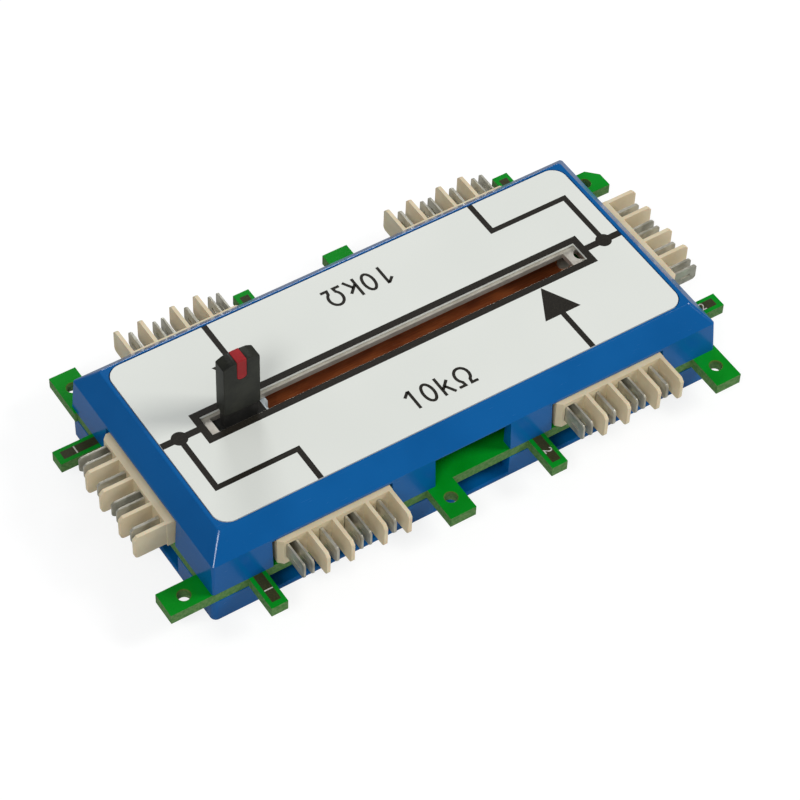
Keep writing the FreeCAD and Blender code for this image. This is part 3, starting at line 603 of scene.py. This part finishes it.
def bar(bm, x_low, y_low, x_high, y_high):
    """One flat rectangle of print, in millimetres."""
    middle = Vector(((x_low + x_high) / 2 * MM, (y_low + y_high) / 2 * MM, 0))
    scale = Matrix.Diagonal(((x_high - x_low) * MM, (y_high - y_low) * MM, 1, 1))
    place = Matrix.Translation(middle) @ scale
    bmesh.ops.create_grid(bm, x_segments=1, y_segments=1, size=0.5, matrix=place)


def disc(bm, x, y, diameter):
    """One flat dot of print, in millimetres."""
    place = Matrix.Translation((x * MM, y * MM, 0))
    radius = diameter / 2 * MM
    bmesh.ops.create_circle(bm, cap_ends=True, segments=DOT_SEGMENTS, radius=radius, matrix=place)


def raise_print(bm, surface, thickness=INK_THICKNESS):
    """Gives flat print its thickness, from a little inside the surface it lies on."""
    flat = bmesh.ops.extrude_face_region(bm, geom=bm.faces[:])
    top = [item for item in flat["geom"] if isinstance(item, bmesh.types.BMVert)]
    bmesh.ops.translate(bm, verts=top, vec=(0, 0, thickness))
    bmesh.ops.translate(bm, verts=bm.verts[:], vec=(0, 0, surface - INK_THICKNESS / 2))
    bmesh.ops.recalc_face_normals(bm, faces=bm.faces[:])


def half_turn_copy(bm):
    """Adds the same print for the other long side."""
    made = bmesh.ops.duplicate(bm, geom=bm.verts[:] + bm.edges[:] + bm.faces[:])
    verts = [item for item in made["geom"] if isinstance(item, bmesh.types.BMVert)]
    bmesh.ops.rotate(bm, cent=(0, 0, 0), matrix=Matrix.Rotation(math.pi, 3, "Z"), verts=verts)


# %% Lines, dots and arrows of the symbol
# Places and widths in millimetres, as the photo shows them
PRINT_MARGIN = 0.02
edge_x = label_high.x / MM - PRINT_MARGIN
edge_y = label_high.y / MM - PRINT_MARGIN
BOX_HALF_X = 28.33
BOX_HALF_Y = 2.54
BOX_LINE = 0.97
LEAD = 0.96
LINE = 0.76
DOT_PLACE = 31.0
DOT_DIAMETER = 2.1
TAP_LEVEL = 8.7
TAP_TURN = 19.8
ARROW_PLACE = 19.5
ARROW_BASE = 7.5
ARROW_TIP = 2.6
ARROW_HALF = 2.65
DOT_THICKNESS = 1.3 * INK_THICKNESS

lines = bmesh.new()
bar(lines, BOX_HALF_X, -LEAD / 2, edge_x, LEAD / 2)
bar(lines, -BOX_HALF_X, BOX_HALF_Y - BOX_LINE, BOX_HALF_X, BOX_HALF_Y)
bar(lines, BOX_HALF_X - BOX_LINE, BOX_LINE - BOX_HALF_Y, BOX_HALF_X, BOX_HALF_Y - BOX_LINE)
bar(lines, DOT_PLACE - LINE / 2, LEAD / 2, DOT_PLACE + LINE / 2, TAP_LEVEL + LINE / 2)
bar(lines, TAP_TURN - LINE / 2, TAP_LEVEL - LINE / 2, DOT_PLACE - LINE / 2, TAP_LEVEL + LINE / 2)
bar(lines, TAP_TURN - LINE / 2, TAP_LEVEL + LINE / 2, TAP_TURN + LINE / 2, edge_y)
bar(lines, ARROW_PLACE - LINE / 2, -edge_y, ARROW_PLACE + LINE / 2, -ARROW_BASE)
arrow = [
    (ARROW_PLACE - ARROW_HALF, -ARROW_BASE),
    (ARROW_PLACE + ARROW_HALF, -ARROW_BASE),
    (ARROW_PLACE, -ARROW_TIP),
]
lines.faces.new([lines.verts.new((x * MM, y * MM, 0)) for x, y in arrow])
half_turn_copy(lines)
raise_print(lines, label_top)
symbol = new_piece("symbol_lines", lines, INK, "housing")
print("symbol faces", len(symbol.data.polygons), "size mm", in_mm(*symbol.dimensions))

dots = bmesh.new()
disc(dots, DOT_PLACE, 0, DOT_DIAMETER)
half_turn_copy(dots)
raise_print(dots, label_top, DOT_THICKNESS)
dot_pair = new_piece("symbol_dots", dots, INK, "housing")
print("dots faces", len(dot_pair.data.polygons), "size mm", in_mm(*dot_pair.dimensions))


# %% [markdown]
# ## The resistance value
#
# The label gives the resistance in plain letters whose strokes all have one width. They could be
# set in type, but the shapes would then be the font's. Drawn as ribbons of one width, along a few
# points or an arc, the strokes stand where the photo shows them.

# %% Sizes of the value
# Places are in millimetres from the foot of the first letter, as the photo shows them
STROKE = 0.40
VALUE_X = -3.9
VALUE_Y = -11.08
LETTER_TOP = 3.1
ZERO_MIDDLE = (2.12, 1.57)
ZERO_HALF = (0.72, 1.38)
OMEGA_MIDDLE = (7.08, 1.75)
OMEGA_HALF = (0.95, 1.17)
OMEGA_OPEN = math.radians(35)
OMEGA_FOOT = 0.2
OMEGA_INNER = 0.46
OMEGA_OUTER = 1.36
ONE_FLAG = [(-0.86, 2.26), (-0.05, LETTER_TOP - 0.10)]
ONE_STEM = [(0, 0), (0, LETTER_TOP)]
KILO_STEM = [(3.78, 0), (3.78, LETTER_TOP)]
KILO_ARM = [(3.86, 1.00), (5.02, 2.16)]
KILO_LEG = [(4.30, 1.42), (5.14, 0.0)]
ARC_STEPS = 40
MITRE_LIMIT = 0.5
VALUE_THICKNESS = 1.1 * INK_THICKNESS


# %% Ribbons along points and arcs
def arc_points(middle, half, start, end):
    """Points along a part of an ellipse."""
    points = []
    for step in range(ARC_STEPS + 1):
        angle = start + (end - start) * step / ARC_STEPS
        x = middle[0] + half[0] * math.cos(angle)
        y = middle[1] + half[1] * math.sin(angle)
        points.append((x, y))
    return points


def stroke(bm, points, closed=False):
    """A ribbon of the stroke's width along a line of points, with mitred corners."""
    line = [Vector((x, y)) for x, y in points]
    count = len(line)
    sides = []
    for index, point in enumerate(line):
        before = line[index - 1] if closed or index > 0 else None
        after = line[(index + 1) % count] if closed or index < count - 1 else None
        ways = [way.normalized() for way in (before and point - before, after and after - point) if way]
        along = sum(ways, Vector((0, 0))).normalized()
        across = Vector((-along.y, along.x))
        first = Vector((-ways[0].y, ways[0].x))
        reach = STROKE / 2 / max(across.dot(first), MITRE_LIMIT)
        pair = [point + across * reach, point - across * reach]
        sides.append([bm.verts.new((spot.x * MM, spot.y * MM, 0)) for spot in pair])
    last = count if closed else count - 1
    for index in range(last):
        left, right = sides[index]
        next_left, next_right = sides[(index + 1) % count]
        bm.faces.new((left, right, next_right, next_left))


# %% The value, centred where the label has it
value_mesh = bmesh.new()
stroke(value_mesh, ONE_FLAG)
stroke(value_mesh, ONE_STEM)
stroke(value_mesh, arc_points(ZERO_MIDDLE, ZERO_HALF, 0, 2 * math.pi)[:-1], closed=True)
stroke(value_mesh, KILO_STEM)
stroke(value_mesh, KILO_ARM)
stroke(value_mesh, KILO_LEG)
middle = OMEGA_MIDDLE[0]
arc_start = 1.5 * math.pi - OMEGA_OPEN
arc_end = OMEGA_OPEN - 0.5 * math.pi
left_foot = [(middle - OMEGA_OUTER, OMEGA_FOOT), (middle - OMEGA_INNER, OMEGA_FOOT)]
right_foot = [(middle + OMEGA_INNER, OMEGA_FOOT), (middle + OMEGA_OUTER, OMEGA_FOOT)]
stroke(value_mesh, left_foot + arc_points(OMEGA_MIDDLE, OMEGA_HALF, arc_start, arc_end) + right_foot)
bmesh.ops.translate(value_mesh, verts=value_mesh.verts[:], vec=(VALUE_X * MM, VALUE_Y * MM, 0))
half_turn_copy(value_mesh)
raise_print(value_mesh, label_top, VALUE_THICKNESS)
value = new_piece("value_print", value_mesh, INK, "housing")
print("value faces", len(value.data.polygons), "size mm", in_mm(*value.dimensions))


# %% [markdown]
# ## Marks on the narrow tabs
#
# On each narrow tab the board has a dark strip with its module's number in it. The strip is a hair
# above the solder mask and the number a hair above the strip, as printed layers are. The number is
# type: a text curve is made a mesh and then scaled to its real height, so that no object keeps a
# scale of its own.

# %% Type as thin print
# Places and widths in millimetres from the middle of a side
KEY_TAB = -10.65
STRIP_HALF = 0.62
SHELL_GAP = 0.02
STRIP_MARGIN = 0.75
DIGIT_REACH = 19.7
DIGIT_HEIGHT = 1.15
CURVE_STEPS = 6
TYPE_MERGE = 1e-5


def type_mesh(name, words):
    """Type as a flat mesh in the text curve's own size."""
    curve = bpy.data.curves.new(name + "_curve", "FONT")
    curve.body = words
    curve.resolution_u = CURVE_STEPS
    text = bpy.data.objects.new(name + "_curve", curve)
    bpy.context.scene.collection.objects.link(text)
    bpy.context.view_layer.update()
    mesh = bpy.data.meshes.new_from_object(text)
    bpy.data.objects.remove(text)
    bm = bmesh.new()
    bm.from_mesh(mesh)
    bmesh.ops.remove_doubles(bm, verts=bm.verts[:], dist=TYPE_MERGE)
    return bm


def number_print(name, words, place, turn):
    """A number that is centred on a place and turned about Z, on top of a strip."""
    bm = type_mesh(name, words)
    low = Vector([min(vert.co[axis] for vert in bm.verts) for axis in range(3)])
    high = Vector([max(vert.co[axis] for vert in bm.verts) for axis in range(3)])
    growth = DIGIT_HEIGHT * MM / (high.y - low.y)
    bmesh.ops.translate(bm, verts=bm.verts[:], vec=-(low + high) / 2)
    bmesh.ops.scale(bm, verts=bm.verts[:], vec=(growth, growth, 1))
    bmesh.ops.rotate(bm, cent=(0, 0, 0), matrix=Matrix.Rotation(turn, 3, "Z"), verts=bm.verts[:])
    bmesh.ops.translate(bm, verts=bm.verts[:], vec=(place.x, place.y, 0))
    raise_print(bm, board_top + INK_THICKNESS)
    made = new_piece(name, bm, DIGIT_INK, "housing")
    print(name, "faces", len(made.data.polygons), "size mm", in_mm(*made.dimensions))


# %% Strips and numbers
strip_end = tab_reach / MM - STRIP_MARGIN
for name, module, turn in SIDES:
    strip = bmesh.new()
    shell_face = shell_high.y if turn % 180 == 0 else shell_high.x - HALF_GRID
    strip_start = shell_face / MM + SHELL_GAP
    bar(strip, KEY_TAB - STRIP_HALF, -strip_end, KEY_TAB + STRIP_HALF, -strip_start)
    bmesh.ops.transform(strip, matrix=side_matrix(module, turn), verts=strip.verts[:])
    raise_print(strip, board_top)
    new_piece("tab_strip_" + name, strip, STRIP_INK, "housing")
    place = side_matrix(module, turn) @ Vector((KEY_TAB * MM, -DIGIT_REACH * MM, 0))
    number_print("tab_number_" + name, "1" if module < 0 else "2", place, math.radians(turn - 90))


# %% [markdown]
# ## Camera
#
# The camera was solved from the photo on the block's own grid: its direction, roll, distance and
# focal length are fixed numbers, and the rest is worked out. Its frame is built from three vectors,
# so the small roll is easy to add.

# %% Camera at the photo's viewing angle
AZIMUTH = math.radians(-34.82)
ELEVATION = math.radians(49.948)
ROLL = math.radians(2.477)
DISTANCE = 358.05 * MM
LENS = 129.95
SENSOR = 36.0
TARGET = Vector((-1.734, -3.441, 5.2)) * MM
CLIP_START = 0.01
CLIP_END = 20

back = Vector((
    math.sin(AZIMUTH) * math.cos(ELEVATION),
    -math.cos(AZIMUTH) * math.cos(ELEVATION),
    math.sin(ELEVATION),
))
right = (-back).cross(Vector((0, 0, 1))).normalized()
up = right.cross(-back)
camera_x = right * math.cos(ROLL) + up * math.sin(ROLL)
camera_y = up * math.cos(ROLL) - right * math.sin(ROLL)
turned = Matrix((camera_x, camera_y, back)).transposed().to_4x4()
camera_data = bpy.data.cameras.new("camera")
camera_data.lens = LENS
camera_data.sensor_width = SENSOR
camera_data.clip_start = CLIP_START
camera_data.clip_end = CLIP_END
camera = bpy.data.objects.new("camera", camera_data)
camera.matrix_world = Matrix.Translation(TARGET + back * DISTANCE) @ turned
bpy.context.scene.collection.objects.link(camera)
bpy.context.scene.camera = camera
print("camera at mm", in_mm(*camera.matrix_world.translation))


# %% [markdown]
# ## The white table
#
# The block lies on a white table. The floor is a matt white that takes the block's shadow, mixed
# with plain white light where the camera sees it, so that it reads as white paper. Reflections see
# a much weaker light, because a full one would turn the glossy blue sides pale.

# %% Floor
FLOOR_HALF = 3.0
FLOOR_GAP = 0.0002
PAPER = (0.86, 0.86, 0.85, 1)
LIGHT_SHARE = 0.72
SEEN_LIGHT = 1.12
MIRRORED_LIGHT = 0.15

floor_material = bpy.data.materials.new("white_table")
floor_material.use_nodes = True
floor_tree = floor_material.node_tree
floor_tree.nodes.clear()


def floor_maths(operation, first, second, third=0.0):
    """The result of one Math node, whose inputs are sockets or numbers."""
    made = floor_tree.nodes.new("ShaderNodeMath")
    made.operation = operation
    for socket, value in zip(made.inputs, (first, second, third)):
        if isinstance(value, float):
            socket.default_value = value
        else:
            floor_tree.links.new(value, socket)
    return made.outputs[0]


rays = floor_tree.nodes.new("ShaderNodeLightPath").outputs
paper = floor_tree.nodes.new("ShaderNodeBsdfDiffuse")
paper.inputs["Color"].default_value = PAPER
light = floor_tree.nodes.new("ShaderNodeEmission")
weaker = MIRRORED_LIGHT - SEEN_LIGHT
level = floor_maths("MULTIPLY_ADD", rays["Is Glossy Ray"], weaker, SEEN_LIGHT)
direct = floor_maths("MAXIMUM", rays["Is Camera Ray"], rays["Is Glossy Ray"])
looked_at = floor_maths("MAXIMUM", direct, rays["Is Transmission Ray"])
share = floor_maths("MULTIPLY", looked_at, LIGHT_SHARE)
floor_mix = floor_tree.nodes.new("ShaderNodeMixShader")
floor_output = floor_tree.nodes.new("ShaderNodeOutputMaterial")
floor_tree.links.new(level, light.inputs["Strength"])
floor_tree.links.new(share, floor_mix.inputs[0])
floor_tree.links.new(paper.outputs[0], floor_mix.inputs[1])
floor_tree.links.new(light.outputs[0], floor_mix.inputs[2])
floor_tree.links.new(floor_mix.outputs[0], floor_output.inputs[0])

floor_mesh = bmesh.new()
bmesh.ops.create_grid(floor_mesh, x_segments=1, y_segments=1, size=FLOOR_HALF)
bmesh.ops.translate(floor_mesh, verts=floor_mesh.verts[:], vec=(0, 0, cad_box[0].z - FLOOR_GAP))
floor_data = bpy.data.meshes.new("floor")
floor_mesh.to_mesh(floor_data)
floor_mesh.free()
floor_data.materials.append(floor_material)
floor = bpy.data.objects.new("floor", floor_data)
bpy.context.scene.collection.objects.link(floor)
print("floor at mm", in_mm(cad_box[0].z - FLOOR_GAP), "nodes", len(floor_tree.nodes))


# %% [markdown]
# ## World and lamps
#
# The sky lights the block evenly. The camera sees it pale, and reflections see it dark, for the
# same reason as the table. Three square lamps make the light and the shadows: the key from the
# front right, the fill from behind and the side lamp from the front left. They stay at a level at
# which a colour renders about as it is written.

# %% World
SKY = (0.92, 0.95, 1.0, 1)
PLAIN = (0.8, 0.8, 0.8, 1)
SKY_LIGHT = 0.36
MIRRORED_SKY = 0.08
SEEN_SKY = 1.0

world = bpy.data.worlds.new("studio")
bpy.context.scene.world = world
world.use_nodes = True
world_tree = world.node_tree
world_tree.nodes.clear()


def sky_shader(colour, strength):
    """One even sky."""
    made = world_tree.nodes.new("ShaderNodeBackground")
    made.inputs["Color"].default_value = colour
    made.inputs["Strength"].default_value = strength
    return made


def sky_choice(ray, otherwise, chosen):
    """Shows one kind of ray its own sky."""
    made = world_tree.nodes.new("ShaderNodeMixShader")
    world_tree.links.new(ray, made.inputs[0])
    world_tree.links.new(otherwise.outputs[0], made.inputs[1])
    world_tree.links.new(chosen.outputs[0], made.inputs[2])
    return made


rays = world_tree.nodes.new("ShaderNodeLightPath").outputs
even = sky_shader(SKY, SKY_LIGHT)
mirrored = sky_choice(rays["Is Glossy Ray"], even, sky_shader(PLAIN, MIRRORED_SKY))
seen = sky_choice(rays["Is Camera Ray"], mirrored, sky_shader(PLAIN, SEEN_SKY))
world_output = world_tree.nodes.new("ShaderNodeOutputWorld")
world_tree.links.new(seen.outputs[0], world_output.inputs[0])
print("world nodes", len(world_tree.nodes))

# %% Lamps
# Name, place and width in metres, power in watts, colour
LAMPS = [
    ("key", (0.95, -0.47, 0.84), 0.42, 9.2, (1.0, 0.985, 0.96)),
    ("fill", (0.34, 0.84, 0.50), 0.30, 2.4, (0.97, 0.98, 1.0)),
    ("side", (-0.60, -0.43, 0.82), 0.32, 3.9, (1.0, 1.0, 1.0)),
]
LAMP_AIM = Vector((0, 0, 0.01))
for name, place, width, power, colour in LAMPS:
    lamp = bpy.data.lights.new(name, "AREA")
    lamp.shape = "SQUARE"
    lamp.size = width
    lamp.energy = power
    lamp.color = colour
    holder = bpy.data.objects.new(name, lamp)
    toward = LAMP_AIM - Vector(place)
    aimed = toward.to_track_quat("-Z", "Y").to_matrix().to_4x4()
    holder.matrix_world = Matrix.Translation(place) @ aimed
    bpy.context.scene.collection.objects.link(holder)
    print("lamp", name, "from mm", in_mm(*place), "watts", power)
bpy.context.scene.view_settings.view_transform = "Standard"
